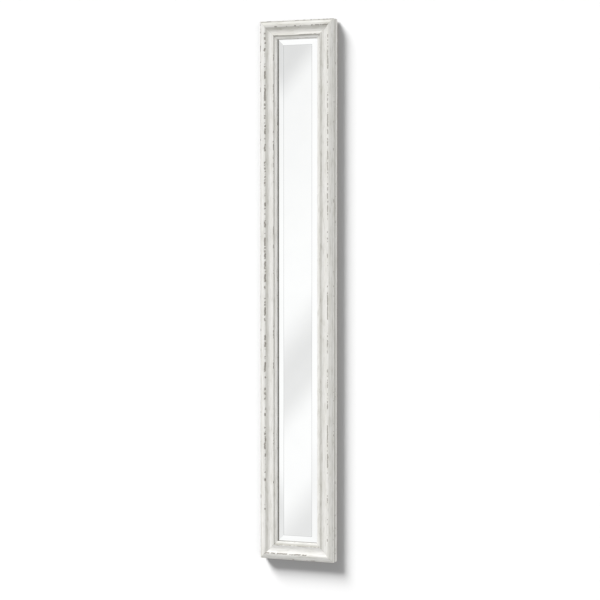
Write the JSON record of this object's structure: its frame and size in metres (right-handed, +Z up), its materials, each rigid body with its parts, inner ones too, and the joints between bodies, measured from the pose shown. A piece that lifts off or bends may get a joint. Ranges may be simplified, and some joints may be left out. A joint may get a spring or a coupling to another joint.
{
  "type": "wall mirror",
  "caption": "Tall narrow wall mirror: bevelled glass in a mitred, moulded wooden frame with worn off-white paint, hung from steel ring hangers on its back.",
  "frame": {"origin": "middle of the glass's front face, at half the width and half the height; it lies 5.0 mm in front of the bounding box's middle. The wall plane through the bumpers is y = 0.02623 m and the frame's flat back is y = 0.02073 m", "axes": "the mirror faces -Y and the wall is at +Y; +X to the viewer's right, +Z up along the height"},
  "size_m": [0.247, 0.0425, 1.7],
  "materials": {
    "painted_wood": "off-white paint, rubbed back to brown-grey along the arrises",
    "silvered_glass": "clear float glass, silvered on the back, with a polished bevel",
    "hardboard": "bare brown hardboard",
    "plated_steel": "bright zinc plate",
    "bumper_rubber": "matt black"
  },
  "bodies": {
    "frame": {"top_rail": "painted_wood", "bottom_rail": "painted_wood", "left_stile": "painted_wood", "right_stile": "painted_wood", "mirror_glass": "silvered_glass", "backing_board": "hardboard", "board_points": "plated_steel", "mitre_nails": "plated_steel", "hanger_strap_left": "plated_steel", "hanger_strap_right": "plated_steel", "hanger_screws": "plated_steel", "bumper_left": "bumper_rubber", "bumper_right": "bumper_rubber"},
    "ring_left": {"hanger_ring_left": "plated_steel"},
    "ring_right": {"hanger_ring_right": "plated_steel"}
  },
  "joints": [
    {"name": "ring_left_swing", "type": "hinge", "parent": "frame", "child": "ring_left", "pos_m": [-0.0985, 0.02331, 0.65], "axis": [-1, 0, 0], "range_deg": [0, 178]},
    {"name": "ring_right_swing", "type": "hinge", "parent": "frame", "child": "ring_right", "pos_m": [0.0985, 0.02331, 0.65], "axis": [-1, 0, 0], "range_deg": [0, 178]}
  ]
}
